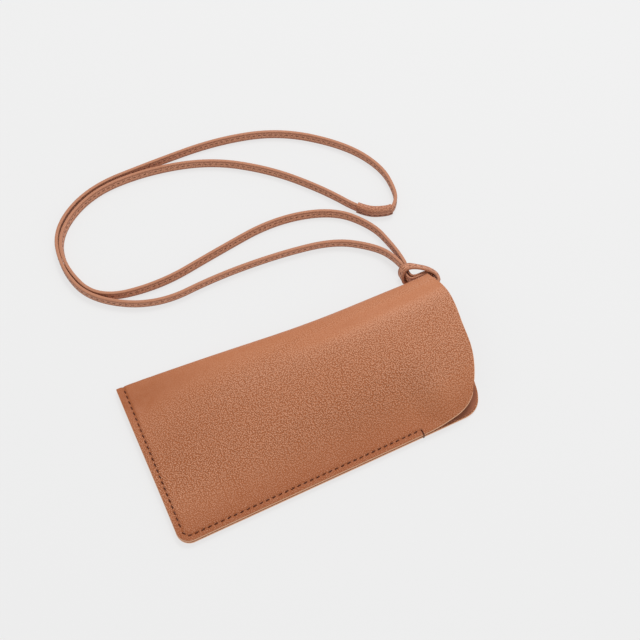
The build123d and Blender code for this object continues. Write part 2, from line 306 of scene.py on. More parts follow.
def thread_material():
    """Waxed twisted thread: dark, a little glossy, with fine fibres and worn paler spots."""
    material, tree, shader = principled("waxed_thread", srgb(80, 30, 10), 0.5)
    place = object_place(tree)
    fibre = add_noise(tree, place, 5200.0, roughness=0.6)
    worn = remap(tree, add_noise(tree, place, 420.0, 2.0), 0.45, 0.75)
    colour = mix(tree, worn, srgb(76, 28, 9), srgb(112, 54, 24))
    colour = mix(tree, remap(tree, fibre, 0.3, 0.7, 0.0, 0.35), colour, srgb(44, 14, 4))
    bump(tree, shader, fibre, 0.05 * MM, 0.6)
    set_inputs(tree, shader, Base_Color=colour, Roughness=remap(tree, worn, 0.0, 1.0, 0.42, 0.62),
               Specular_IOR_Level=0.25)
    return material


# ---- mesh helpers
def new_mesh_object(name, vertices, faces, material, values=None):
    """A smooth-shaded mesh object. values: per-vertex numbers that the materials read."""
    mesh = bpy.data.meshes.new(name)
    mesh.from_pydata(np.asarray(vertices, float).tolist(), [], faces)
    mesh.materials.append(material)
    mesh.shade_smooth()
    mesh.set_sharp_from_angle(angle=math.radians(50.0))
    for label, numbers in (values or {}).items():
        numbers = np.asarray(numbers, np.float32)
        kind, field = ("FLOAT", "value") if numbers.ndim == 1 else ("FLOAT_VECTOR", "vector")
        mesh.attributes.new(label, kind, "POINT").data.foreach_set(field, numbers.ravel())
    mesh.validate()
    return add_object(name, mesh)


def smooth_line(points, steps):
    """Points read along the smooth line that has the given control points, in order."""
    curve = bpy.data.curves.new("line", "CURVE")
    curve.dimensions = "3D"
    spline = curve.splines.new("NURBS")
    spline.points.add(len(points) - 1)
    for knot, place in zip(spline.points, points):
        knot.co = (*place, 1.0)
    spline.order_u = 3
    spline.use_endpoint_u = True
    spline.resolution_u = steps
    holder = add_object("line", curve)
    bpy.context.view_layer.update()
    mesh = bpy.data.meshes.new_from_object(holder)
    line = np.array([vertex.co for vertex in mesh.vertices])
    bpy.data.meshes.remove(mesh)
    bpy.data.objects.remove(holder)
    bpy.data.curves.remove(curve)
    return line


def lengths_along(line):
    """Distance from the start of a line to each of its points."""
    return np.concatenate([[0.0], np.cumsum(np.linalg.norm(np.diff(line, axis=0), axis=1))])


def read_line(at, run, table):
    """A table's rows, which stand at the distances in run, read at one distance or at many."""
    return np.stack([np.interp(at, run, column) for column in table.T], axis=-1)


def unit(vectors):
    return vectors / np.maximum(np.linalg.norm(vectors, axis=-1, keepdims=True), 1e-12)


def shifted(faces, base):
    return [tuple(base + k for k in face) for face in faces]


def tube_sides(rings, around):
    """Quads between the neighbouring rings of a tube."""
    faces = []
    for ring in range(rings - 1):
        for i in range(around):
            j = (i + 1) % around
            faces += shifted([(i, j, around + j, around + i)], ring * around)
    return faces


def sweep_faces(rings, around):
    """Faces of a closed tube of rings, each with an even number of points, with quad-strip ends."""
    faces = tube_sides(rings, around)
    for i in range(around // 2 - 1):
        near = (i, around - 1 - i, around - 2 - i, i + 1)
        faces += [near] + shifted([near[::-1]], (rings - 1) * around)
    return faces


def rounded_band_profile(width, thickness, radius, groove):
    """Section of a flat band: (across its thickness, along its width), with a stitch groove in
    each face."""
    corner = []
    for step in range(4):
        angle = math.radians(90 * step / 3)
        corner.append((thickness / 2 - radius + radius * math.sin(angle),
                       -width / 2 + radius - radius * math.cos(angle)))
    face = [(thickness / 2, -width * share) for share in (0.37, 0.31, 0.2)]
    for offset, depth in ((-0.5, 0.0), (-0.28, 0.8), (0.0, 1.0), (0.28, 0.8), (0.5, 0.0)):
        face.append((thickness / 2 - groove * depth, STRAP_GROOVE_AT + offset * MM))
    face += [(thickness / 2, width * share) for share in (0.24, 0.31, 0.37)]
    right = corner + face + [(x, -y) for x, y in reversed(corner)]
    left = [(-x, y) for x, y in reversed(right)]
    return np.array(right + left)


def sweep_band(line, across, profile, taper=4):
    """Vertices of a band that follows a line. across: unit vectors along the band's width."""
    along = unit(np.gradient(line, axis=0))
    across = unit(across - along * np.sum(across * along, axis=1, keepdims=True))
    facing = np.cross(along, across)
    scale = np.ones(len(line))
    for i in range(taper):
        shrink = 1.0 - 0.12 * (1.0 - i / taper) ** 2
        scale[i] = shrink
        scale[-1 - i] = shrink
    spots = (line[:, None, :]
             + facing[:, None, :] * (profile[None, :, 0] * scale[:, None])[..., None]
             + across[:, None, :] * (profile[None, :, 1] * scale[:, None])[..., None])
    return spots.reshape(-1, 3)


def thread_template(rings=9, around=8, twist=2.5):
    """One stitch of unit half-length and unit radius: two strands twisted, with both ends diving."""
    spots = []
    for t in np.linspace(-1.0, 1.0, rings):
        girth = max(0.35, (1.0 - abs(t) ** 5) ** 0.5)
        for i in range(around):
            angle = 2 * math.pi * i / around
            swell = 1.0 + 0.16 * math.cos(2 * (angle - twist * t))
            spots.append((t, girth * swell * math.cos(angle), girth * swell * math.sin(angle), abs(t) ** 3))
    return np.array(spots), sweep_faces(rings, around)


def stitches(name, places, half_length, radius, dive, material, **template):
    """Many stitches as one mesh. places: (middle, direction, outward) for each."""
    shape, pattern = thread_template(**template)
    vertices = []
    faces = []
    for middle, direction, outward in places:
        side = np.cross(outward, direction)
        faces += shifted(pattern, len(vertices) * len(shape))
        vertices.append(middle + direction * (shape[:, 0:1] * half_length) + side * (shape[:, 1:2] * radius)
                        + outward * (shape[:, 2:3] * radius - shape[:, 3:4] * dive))
    return new_mesh_object(name, np.concatenate(vertices), faces, material)


def both_faces(middle, way, out, half):
    """One stitch on each face of a band, at half the band's thickness from its middle."""
    return [(middle + unit(out) * side * half, unit(way), unit(out) * side) for side in (1.0, -1.0)]


# ---- the pouch's form
def smoothstep(value, start, end):
    t = np.clip((value - start) / (end - start), 0.0, 1.0)
    return t * t * (3.0 - 2.0 * t)


def hump(value, middle, width):
    """1 at the middle, falling smoothly to 0 two widths away."""
    return np.exp(-((value - middle) / width) ** 2)


def fill(x):
    """How full the pouch is at x: 0 along the closed edge, 1 from three quarters of the way on."""
    along = np.maximum(0.0, x - X_CLOSED - 6.0 * MM) / (164.0 * MM)
    along = along * along / (along + 0.03)
    return np.sin(math.pi / 2 * np.minimum(1.0, along / 0.75))


def seam_y(x):
    return SEAM_START_Y + SEAM_SLOPE * (x - X_CLOSED - CORNER_RADIUS)


def fold_line(x):
    """The folded edge in plan: drawn in where the pouch is full, and a little more in the middle."""
    return FOLD_CLOSED_Y - FOLD_DRAW_IN * fill(x) - FOLD_SAG * hump(x, 12.0 * MM, 38.0 * MM)


def fold_y(x):
    return fold_line(x) + 1.0 * MM * smoothstep(x, 62.0 * MM, 86.0 * MM)


def fold_radius(x):
    return FOLD_RADIUS_CLOSED + (FOLD_RADIUS_MOUTH - FOLD_RADIUS_CLOSED) * fill(x)


def butt_y(x):
    """Where the fold lands on the table and meets the back."""
    return fold_line(x) - fold_radius(x)


def lower_edge_z(x):
    """Height of the front's lower edge: sewn down, then free and lifting towards the mouth."""
    free = np.maximum(0.0, (x - SEAM_END_X) / (X_MOUTH - SEAM_END_X))
    return SEAM_STACK + FREE_EDGE_LIFT * free ** 1.2


def bezier_at(t, p0, p1, p2, p3):
    return (1 - t) ** 3 * p0 + 3 * (1 - t) ** 2 * t * p1 + 3 * (1 - t) * t * t * p2 + t ** 3 * p3


def bezier(p0, p1, p2, p3, count, first=False):
    """Many curves at once, one for each number in p0, as rows. Each leaves out its first point unless
    told otherwise."""
    t = np.linspace(0.0, 1.0, count + 1)[None, 0 if first else 1:]
    return bezier_at(t, *(np.broadcast_to(p, p0.shape)[:, None] for p in (p0, p1, p2, p3)))


def section(x, depth):
    """The front's section at each x, depth inside its outer face, as lists of y and z: from the lower
    edge over the crown and round the fold to where it lands."""
    full = fill(x)
    free = smoothstep(x, SEAM_END_X, 56.0 * MM)
    y0 = seam_y(x)
    z0 = lower_edge_z(x) - depth
    y1 = y0 + SEAM_MARGIN * (1.0 - 0.85 * free)
    z1 = z0 + 0.2 * MM * free
    fold = fold_y(x) - depth
    fold_z = fold_radius(x) * (1.0 + 0.2 * full)
    crown_y = y0 + (fold_y(x) - y0) * (0.5 + 0.08 * full)
    crown = CROWN_CLOSED + (CROWN_MOUTH - CROWN_CLOSED) * full - depth
    low_reach = 0.30 + 0.05 * full
    rise = (crown - z0) * (0.42 * free + 0.04)
    ys = [bezier(y0, y0 + (y1 - y0) / 3, y0 + (y1 - y0) * 2 / 3, y1, 10, first=True)]
    zs = [bezier(z0, z0 + (z1 - z0) / 3, z0 + (z1 - z0) * 2 / 3, z1, 10, first=True)]
    span = crown_y - y1
    ys.append(bezier(y1, y1 + span * low_reach, crown_y - span * 0.52, crown_y, 44))
    zs.append(bezier(z1, z1 + rise, crown, crown, 44))
    span = fold - crown_y
    near = 0.88 - 0.33 * full
    tall = 1.0 - 0.42 * full
    ys.append(bezier(crown_y, crown_y + span * near, fold, fold, 60))
    zs.append(bezier(crown, crown, fold_z + (crown - fold_z) * tall, fold_z, 60))
    land = butt_y(x)
    ys.append(bezier(fold, fold, land + (fold - land) * 0.45, land, 32))
    zs.append(bezier(fold_z, fold_z - (fold_z - depth) * 0.55, depth, depth, 32))
    return np.concatenate(ys, axis=1), np.concatenate(zs, axis=1)


def front_place(x, share, depth=0.0):
    """Points of the front sheet: at x, and at a share of its width from the lower edge (0) over the
    crown to where the fold lands (1)."""
    ys, zs = section(x, depth)
    steps = np.hypot(np.diff(ys, axis=1), np.diff(zs, axis=1))
    run = np.concatenate([np.zeros((len(x), 1)), np.cumsum(steps, axis=1)], axis=1)
    target = share * run[:, -1]
    index = np.clip((run < target[:, None]).sum(axis=1), 1, run.shape[1] - 1)
    rows = np.arange(len(x))
    before = run[rows, index - 1]
    part = (target - before) / np.maximum(run[rows, index] - before, 1e-12)
    y = ys[rows, index - 1] + (ys[rows, index] - ys[rows, index - 1]) * part
    z = zs[rows, index - 1] + (zs[rows, index] - zs[rows, index - 1]) * part
    return np.stack([x, y, z], axis=1)


def height_at(x, y):
    """The height in the pattern at which the front's plan reaches y, towards the lower edge."""
    shares = np.linspace(0.0, 0.8, 200)
    places = front_place(np.full(200, x), shares)
    return float(np.interp(y, places[:, 1], shares)) * PATTERN_WIDTH


# ---- outlines
def arc(centre, radius, start, end, count):
    angles = np.radians(np.linspace(start, end, count))
    return np.stack([centre[0] + radius * np.cos(angles), centre[1] + radius * np.sin(angles)], axis=1)


def plane_bezier(p0, p1, p2, p3, count):
    return bezier_at(np.linspace(0.0, 1.0, count)[:, None], *(np.array(p) for p in (p0, p1, p2, p3)))


def joined(*runs):
    """Runs of points as one line, without doubled points."""
    line = np.concatenate(runs)
    keep = np.concatenate([[True], np.linalg.norm(np.diff(line, axis=0), axis=1) > 1e-7])
    return line[keep]


def moved_in(line, inset):
    """A line moved to its left by inset."""
    along = unit(np.gradient(line, axis=0))
    return line + np.stack([-along[:, 1], along[:, 0]], axis=1) * inset


def graded(spans):
    """Numbers from 0 to 1 with given spacings: spans are (length, spacing) pairs in millimetres."""
    ticks = [0.0]
    for length, spacing in spans:
        count = max(1, round(length / spacing))
        ticks += [ticks[-1] + length / count * (k + 1) for k in range(count)]
    return np.array(ticks) / ticks[-1]


def corner_and_seam(foot, count):
    """The outline's start: round the closed corner and along the lower edge as far as foot."""
    corner = (X_CLOSED + CORNER_RADIUS, CORNER_RADIUS)
    return joined(arc(corner, CORNER_RADIUS, 225, 270, 24),
                  plane_bezier((corner[0], 0), (0, 0), (30 * MM, 0), foot, count))


def closed_edge_x(height, inset):
    """x of the closed edge at a height of the pattern: round the corner, then flaring a little."""
    radius = CORNER_RADIUS - inset
    rise = np.clip(CORNER_RADIUS - height, 0.0, radius)
    flare = CLOSED_FLARE * smoothstep(height, CORNER_RADIUS, PATTERN_WIDTH)
    return X_CLOSED + CORNER_RADIUS - np.sqrt(np.maximum(radius ** 2 - rise ** 2, 0.0)) - flare


def filled(lower, mouth, tip, inset, u_spans, v_spans, top):
    """A grid of pattern points (x, height) inside an outline: its lower edge as far as the tip, its
    mouth edge from there up, its closed edge and its top, a straight line at one height."""
    whole = moved_in(joined(lower, mouth), inset)
    split = np.argmin(np.hypot(*(whole - np.array(tip)).T))
    lower, mouth = whole[:split + 1], whole[split:]
    u, v = graded(u_spans), graded(v_spans)
    run = lengths_along(lower)
    low = read_line(u * run[-1], run, lower)
    progress = (low[:, 0] - low[0, 0]) / (low[-1, 0] - low[0, 0])
    upper_left = closed_edge_x(top, inset)
    upper_x = upper_left + (mouth[-1, 0] - upper_left) * progress
    left_h = low[0, 1] + (top - low[0, 1]) * v
    right_h = low[-1, 1] + (top - low[-1, 1]) * v
    right_x = np.interp(right_h, mouth[:, 1], mouth[:, 0])
    uu, vv = np.meshgrid(u, v, indexing="ij")
    grid = []
    for below, above, left, right in (
            (low[:, 0], upper_x, closed_edge_x(left_h, inset), right_x),
            (low[:, 1], np.full(len(u), top), left_h, right_h)):
        corners = ((1 - uu) * (1 - vv) * below[0] + uu * (1 - vv) * below[-1]
                   + (1 - uu) * vv * above[0] + uu * vv * above[-1])
        grid.append((1 - vv) * below[:, None] + vv * above[:, None] + (1 - uu) * left + uu * right
                    - corners)
    return grid


def front_pattern(inset):
    """Grid of (x, share of width) over the whole front sheet, inset from its outline."""
    free_start = (42.0 * MM, 0.0)
    free_mid = (57.5 * MM, 1.3 * MM)
    tip = (TIP_X, height_at(TIP_X, TIP_Y))
    edge = (EDGE_X, height_at(EDGE_X, EDGE_Y))
    lower = joined(
        corner_and_seam(free_start, 200),
        plane_bezier(free_start, (47 * MM, 0.0), (52.5 * MM, 0.5 * MM), free_mid, 40),
        plane_bezier(free_mid, (62.8 * MM, 2.2 * MM), (67.4 * MM, tip[1] - 3.8 * MM), tip, 60))
    rising = plane_bezier(tip, (71.8 * MM, tip[1] + 4.0 * MM), (75.5 * MM, edge[1] - 7 * MM), edge, 60)

    sample = np.linspace(0.0, 1.0, 300)
    plan_y = front_place(np.full(300, MOUTH_SECTION_X), sample)[:, 1]
    pull = MOUTH_PULL * hump(sample, 0.86, 0.155) + 0.7 * MM * smoothstep(plan_y, EDGE_Y, 4.0 * MM)
    mouth_x = EDGE_X + MOUTH_SLANT * (plan_y - EDGE_Y) - pull
    beyond = sample * PATTERN_WIDTH > edge[1]
    mouth = joined(rising, np.stack([mouth_x, sample * PATTERN_WIDTH], axis=1)[beyond])
    xs, heights = filled(lower, mouth, tip, inset, [(6, 0.4), (144, 0.72), (10, 0.4)],
                         [(5, 0.33), (4, 0.7), (52, 1.3), (29, 0.65)], PATTERN_WIDTH)
    return xs, heights / PATTERN_WIDTH


def back_pattern(inset):
    """Grid of (x, y) over the whole back sheet, inset from its outline."""
    foot = (61.0 * MM, 0.0)
    tip = (68.8 * MM, 2.8 * MM)
    edge = (73.6 * MM, 12.5 * MM)
    far = (edge[0] + BACK_SLANT * (BACK_WIDTH - edge[1]), BACK_WIDTH)
    reach = 20 * MM
    lower = joined(corner_and_seam(foot, 220),
                   plane_bezier(foot, (64.2 * MM, 0), (66.8 * MM, 0.9 * MM), tip, 40))
    mouth = joined(plane_bezier(tip, (70.9 * MM, 4.8 * MM), (72.4 * MM, 7.8 * MM), edge, 40),
                   plane_bezier(edge, (edge[0] + BACK_SLANT * reach, edge[1] + reach),
                                (far[0] - BACK_SLANT * reach, BACK_WIDTH - reach), far, 120))
    xs, heights = filled(lower, mouth, tip, inset, [(6, 0.4), (140, 0.8), (8, 0.4)],
                         [(5, 0.33), (4, 0.8), (71, 1.6)], BACK_WIDTH)
    low_y = seam_y(xs)
    return xs, low_y + (butt_y(xs) - low_y) * heights / BACK_WIDTH


def grid_normals(grid):
    return unit(np.cross(np.gradient(grid, axis=0), np.gradient(grid, axis=1)))


def shell(name, outer, inner, bulge, material, pattern, painted_shading=0.0, grain=1.0):
    """A closed sheet between two matching grids, with a rounded cut edge. The grid's last rows, where
    two sheets butt, end square."""
    nu, nv = outer.shape[:2]
    count = nu * nv
    grid = np.arange(count).reshape(nu, nv)
    quads = np.stack([grid[:-1, :-1], grid[1:, :-1], grid[1:, 1:], grid[:-1, 1:]], axis=2).reshape(-1, 4)
    faces = quads.tolist() + (quads[:, ::-1] + count).tolist()
    rim = np.concatenate([grid[:, 0], grid[-1, 1:], grid[-2::-1, -1], grid[0, -2:0:-1]])
    rounded = np.where(rim % nv == nv - 1, 0.0, 1.0)
    vertices = [outer.reshape(-1, 3), inner.reshape(-1, 3)]
    outer_rim, inner_rim = vertices[0][rim], vertices[1][rim]
    tangent = unit(np.roll(outer_rim, -1, axis=0) - np.roll(outer_rim, 1, axis=0))
    outward = unit(np.cross(tangent, grid_normals(outer).reshape(-1, 3)[rim]))
    painted_shading, grain = (np.broadcast_to(level, (nu, nv)).ravel() for level in (painted_shading, grain))
    flat = np.stack([*pattern, np.zeros((nu, nv))], axis=2).reshape(-1, 3)
    values = {"cut": [np.zeros(2 * count)], "painted_shading": [painted_shading, painted_shading * 0.5], "grain": [grain, grain],
              "pattern": [flat, flat]}
    previous = rim
    first = 2 * count
    for share in (0.07, 0.22, 0.5, 0.78, 0.93):
        swell = bulge * (1.0 - abs(2 * share - 1.0) ** 3) * rounded
        vertices.append(outer_rim + (inner_rim - outer_rim) * share + outward * swell[:, None])
        values["cut"].append(rounded * (1.0 if 0.1 < share < 0.9 else 0.55))
        values["painted_shading"].append(painted_shading[rim])
        values["grain"].append(grain[rim] * 0.3)
        values["pattern"].append(flat[rim])
        current = np.arange(first, first + len(rim))
        faces += ring_faces(previous, current)
        previous = current
        first += len(rim)
    faces += ring_faces(previous, rim + count)
    values = {label: np.concatenate(parts) for label, parts in values.items()}
    return new_mesh_object(name, np.concatenate(vertices), faces, material, values)


def ring_faces(upper, lower):
    """Quads between two matching closed rings of vertex numbers."""
    return np.stack([upper, lower, np.roll(lower, -1), np.roll(upper, -1)], axis=1).tolist()


# ---- surface relief
def stitch_distance(x, height):
    """Distance from the seam's stitch line: up the closed edge, round the corner, along the lower edge."""
    turn = CORNER_RADIUS
    side = np.where(height > turn, np.abs(x - X_CLOSED - STITCH_INSET), 1.0)
    below = np.where((x > X_CLOSED + turn) & (x < SEAM_END_X), np.abs(height - STITCH_INSET), 1.0)
    bend = np.abs(np.hypot(x - X_CLOSED - turn, height - turn) - (turn - STITCH_INSET))
    bend = np.where((height <= turn) & (x <= X_CLOSED + turn), bend, 1.0)
    return np.minimum(np.minimum(side, below), bend)


def ripple(x, y, size, seed):
    """Gentle uneven waves between -1 and 1, of about the given size."""
    flat = [noise.noise((a / size + seed, b / size, seed)) for a, b in zip(x.ravel(), y.ravel())]
    return np.array(flat).reshape(x.shape)


def front_sheet_grid(inset, depth, relief):
    """The front sheet at a depth inside its outer face, with its waves and its stitch track."""
    xs, shares = front_pattern(inset)
    flat = front_place(xs.ravel(), np.clip(shares.ravel(), 0.0, 1.0), depth).reshape(*xs.shape, 3)
    height = shares * PATTERN_WIDTH
    normal = grid_normals(flat)
    inside = smoothstep(height, 4 * MM, 20 * MM) * (1 - smoothstep(shares, 0.80, 0.90))
    inside = inside * smoothstep(xs, X_CLOSED + 4 * MM, X_CLOSED + 22 * MM)
    waves = 0.26 * MM * ripple(xs, height, 34 * MM, 3.1) + 0.09 * MM * ripple(xs, height, 13 * MM, 8.4)
    push = waves * inside
    track = stitch_distance(xs, height)
    pucker = 0.5 + 0.5 * np.cos(2 * math.pi * xs / STITCH_PITCH)
    push = push - relief * (0.30 + 0.10 * pucker) * MM * hump(track, 0.0, 0.62 * MM)
    return flat + normal * push[..., None], xs, height


def painted_front_shading(xs, height):
    """Painted light and shade: paler below the fold; darker on its smooth band; darker along the seam, in
    the stitch groove and towards the closed edge; paler towards the mouth and on one patch near the free
    corner, where it cancels the shade of a hollow.
    """
    share = height / PATTERN_WIDTH
    fold = 0.18 * hump(share, 0.65, 0.09) - 0.22 * hump(share, 0.86, 0.08)
    fold = fold - 0.34 * smoothstep(xs, -10 * MM, 30 * MM) * hump(share, 0.72, 0.04)
    low = -0.82 * hump(height, 0.0, 15 * MM)
    low = low - 0.16 * (1 - smoothstep(height, 0.0, 34 * MM)) * (1 - smoothstep(xs, 15 * MM, 60 * MM))
    # Painted light on one patch near the free corner, cancelling the shade that the surface's slope gives
    # there.
    low = low + 0.18 * hump(xs, 50 * MM, 13 * MM) * hump(height, 15 * MM, 8 * MM)
    side = -0.55 * hump(xs, X_CLOSED, 34 * MM) * smoothstep(share, 0.2, 0.7)
    side = side - 0.15 * hump(xs, X_CLOSED, 5 * MM) + 0.16 * smoothstep(xs, 10 * MM, 60 * MM)
    track = -0.5 * hump(stitch_distance(xs, height), 0.0, 0.9 * MM)
    return np.clip(fold + low + side + track, -1.0, 1.0)


def front_grain(xs, height):
    """How far the grain shows: rubbed smooth round the fold, beside it near the mouth and towards the
    closed end's upper corner, and pressed flat along the seam."""
    share = height / PATTERN_WIDTH
    near_mouth = smoothstep(xs, -30 * MM, 25 * MM)
    fold = np.maximum(hump(share, 0.86, 0.12), near_mouth * hump(share, 0.73, 0.07))
    corner = 0.35 * hump(xs, X_CLOSED, 24 * MM) * smoothstep(share, 0.35, 0.75)
    low = 0.5 + 0.5 * smoothstep(height, 4 * MM, 30 * MM)
    return np.clip((1.0 - 0.85 * fold - corner) * low, 0.08, 1.0)


def bend_with_corner(obj):
    """Bakes the sheet's placement into its mesh."""
    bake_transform(obj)


def make_front(leather, lining):
    outer, xs, height = front_sheet_grid(LEATHER_EDGE, 0.0, 1.0)
    inner, _, _ = front_sheet_grid(LEATHER_EDGE, LEATHER, 0.0)
    front = shell("pouch_front_leather", outer, inner, LEATHER_EDGE, leather, (xs, height),
                  painted_front_shading(xs, height), front_grain(xs, height))
    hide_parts("front_panel", "fold_spine", "front_corner")
    bend_with_corner(front)

    outer, xs, height = front_sheet_grid(LINING_INSET, LINING_DEPTH, 0.0)
    inner, _, _ = front_sheet_grid(LINING_INSET, SHEET_DEPTH, 0.0)
    cloth = shell("pouch_front_lining", outer, inner, LINING_EDGE, lining, (xs, height))
    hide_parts("front_lining", "spine_lining", "corner_lining")
    bend_with_corner(cloth)


def back_grid(inset, z, groove):
    xs, ys = back_pattern(inset)
    curl = 0.5 * MM * smoothstep(xs - ys, 88 * MM, 112 * MM)
    track = stitch_distance(xs, ys - seam_y(xs))
    dent = groove * 0.42 * MM * hump(track, 0.0, 0.6 * MM)
    return np.stack([xs, ys, z + curl + dent], axis=2)


def make_back(leather, lining):
    top = back_grid(LEATHER_EDGE, LEATHER, 0.0)
    bottom = back_grid(LEATHER_EDGE, 0.0, 1.0)
    xs, ys = top[..., 0], top[..., 1]
    track = stitch_distance(xs, ys - seam_y(xs))
    # Painted shade: the back is darker all over, lying beneath the front, and darker still along its stitch
    # line.
    painted_shading = -0.35 - 0.4 * hump(track, 0.0, 0.9 * MM)
    back = shell("pouch_back_leather", top, bottom, LEATHER_EDGE, leather, (xs, ys), painted_shading)
    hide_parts("back_panel")
    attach(back, "pouch")

    top = back_grid(LINING_INSET, SHEET_DEPTH, 0.0)
    bottom = back_grid(LINING_INSET, LINING_DEPTH, 0.0)
    cloth = shell("pouch_back_lining", top, bottom, LINING_EDGE, lining, (top[..., 0], top[..., 1]))
    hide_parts("back_lining")
    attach(cloth, "pouch")


def seam_spots(start, end):
    """Middles and directions, in the pattern, of the stitches between two distances along the seam's
    stitch line, which runs down the closed edge, round the corner and along the lower edge."""
    turn = CORNER_RADIUS
    line = joined(
        np.array([(X_CLOSED + STITCH_INSET, height) for height in np.linspace(SEAM_TOP, turn, 200)]),
        arc((X_CLOSED + turn, turn), turn - STITCH_INSET, 180, 270, 30),
        np.array([(x, STITCH_INSET) for x in np.linspace(X_CLOSED + turn, SEAM_END_X - 0.3 * MM, 300)]))
    run = lengths_along(line)
    count = int((min(end, run[-1]) - start) / STITCH_PITCH)
    middles = start + (np.arange(count) + 0.5) * STITCH_PITCH
    places = read_line(middles, run, line)
    return places, unit(read_line(middles + 0.4 * MM, run, line) - places)


def front_frame(spot, direction):
    """Place, direction and outward normal on the front's outer face for a spot of the pattern."""
    x, height = spot
    step = 0.3 * MM
    probes = np.array([(x, height), (x + step, height), (x, height + step)])
    middle, along, across = front_place(probes[:, 0], probes[:, 1] / PATTERN_WIDTH)
    x_way = unit(along - middle)
    h_way = unit(across - middle)
    outward = unit(np.cross(x_way, h_way))
    return middle, unit(x_way * direction[0] + h_way * direction[1]), outward


def make_seam_thread(thread):
    """The seam's stitches on both faces, and the tack that ends the row."""
    side_length = SEAM_TOP - CORNER_RADIUS
    for name, node, start, end in (
            ("side_stitches", "side_seam_thread", 3.5 * MM, side_length),
            ("lower_stitches", "bottom_seam_thread", side_length, 1.0)):
        places = []
        for spot, direction in zip(*seam_spots(start, end)):
            middle, along, outward = front_frame(spot, direction)
            slant = math.radians(STITCH_SLANT + 5.0 * noise.noise((spot[0] / MM, spot[1] / MM, 1.7)))
            along = along * math.cos(slant) + np.cross(outward, along) * math.sin(slant)
            places.append((middle - outward * 0.20 * MM, along, outward))
            under = np.array((middle[0], seam_y(middle[0]) + spot[1], 0.37 * MM))
            flat_way = unit(np.array((*direction, 0.0)))
            places.append((under, flat_way, -UP))
        row = stitches(name, places, 1.18 * MM, 0.28 * MM, 0.40 * MM, thread)
        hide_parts(node)
        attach(row, "pouch")

    # Two turns of thread over the lower edge, where the row ends.
    around = 8
    vertices = []
    faces = []
    for back_by in (0.1 * MM, 0.44 * MM):
        x = SEAM_END_X - back_by
        edge = seam_y(x)
        top = SEAM_STACK + 0.12 * MM
        below = 0.30 * MM
        line = smooth_line(
            [(x, edge + 3.2 * MM, top - 0.5 * MM), (x, edge + 2.8 * MM, top + 0.1 * MM),
             (x, edge + 1.0 * MM, top), (x, edge - 0.35 * MM, top + 0.05 * MM),
             (x, edge - 0.40 * MM, SEAM_STACK / 2), (x, edge - 0.35 * MM, below),
             (x, edge + 1.2 * MM, below), (x, edge + 3.2 * MM, below), (x, edge + 3.5 * MM, 0.8 * MM)], 8)
        side = np.tile((1.0, 0.0, 0.0), (len(line), 1))
        up = np.cross(unit(np.gradient(line, axis=0)), side)
        turns = np.linspace(0, 14.0, len(line))
        body = []
        for i in range(around):
            angle = 2 * math.pi * i / around
            girth = 0.12 * MM * (1 + 0.14 * np.cos(2 * (angle - turns)))[:, None]
            body.append(line + (side * math.cos(angle) + up * math.sin(angle)) * girth)
        faces += shifted(sweep_faces(len(line), around), len(vertices) * len(line) * around)
        vertices.append(np.stack(body, axis=1).reshape(-1, 3))
    tack = new_mesh_object("seam_tack", np.concatenate(vertices), faces, thread)
    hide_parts("seam_bar_tack")
    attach(tack, "pouch")


# ---- the strap
# The strap's route, in millimetres: from the hitch along the near strand, round the far bend, back to
# the sleeve, round its tight turn, along the outer strand and home to the hitch. Its middle stands half
# its width above the floor, but where a third number says otherwise.
STRAP_ROUTE = [
    (72.0, 49.0, 4.3), (72.2, 53.0, 4.0), (71.6, 63.0, 2.7), (68.0, 79.0), (53.0, 96.4), (22.0, 103.1),
    (-13.0, 96.7), (-46.0, 89.8), (-77.5, 94.2), (-86.7, 118.7), (-83.1, 141.1), (-59.8, 158.4),
    (-28.0, 160.4), (6.0, 153.0), (33.0, 134.3), (53.5, 111.0), (67.5, 88.5), (79.6, 83.8), (83.6, 85.3),
    (88.1, 92.4), (88.5, 111.5), (76.2, 133.6), (48.2, 156.2), (14.0, 164.2), (-24.0, 163.6),
    (-60.0, 161.6), (-84.5, 144.0), (-88.7, 119.2), (-81.0, 96.0), (-52.0, 79.0), (-17.0, 83.0),
    (18.0, 82.3), (46.0, 78.3), (63.0, 66.5, 2.7), (69.2, 56.0, 4.0), (70.4, 49.0, 4.3)
]
# Degrees that the strap leans over, away from the pouch, at distances along it in metres.
STRAP_LEAN = [(0.0, 0), (0.03, 6), (0.06, 11), (0.15, 12), (0.19, 2), (0.23, -7), (0.30, -9), (0.40, -7),
              (0.46, 0), (0.50, 9), (0.55, 11), (0.60, 2), (0.87, 2)]


def strap_frames():
    """The strap's line with, at each of its points, its direction, the way its width stands and the way
    its left face looks. It leans a little here and there, and its lower edge stays on the floor."""
    line = smooth_line([Vector((*spot, 2.5)[:3]) * MM for spot in STRAP_ROUTE], 26)
    along = unit(np.gradient(line, axis=0))
    facing = unit(np.cross(along, UP))
    run = lengths_along(line)
    lean = np.radians([5.0 * noise.noise((r * 14.0, 0.4, 2.0)) for r in run])
    lean += np.radians(np.interp(run, *zip(*STRAP_LEAN)))
    lean *= smoothstep(run, 0.0, 30 * MM) * (1 - smoothstep(run, run[-1] - 30 * MM, run[-1]))
    up = np.cross(facing, along)
    across = up * np.cos(lean)[:, None] + facing * np.sin(lean)[:, None]
    return line, run, along, across, unit(np.cross(along, across))


def band_pattern(line, profile):
    """Surface coordinates of a band: along it and round its section."""
    run = lengths_along(line)
    girth = lengths_along(profile)
    level = np.zeros(len(run) * len(girth))
    return np.stack([np.repeat(run, len(girth)), np.tile(girth, len(run)), level], axis=1)


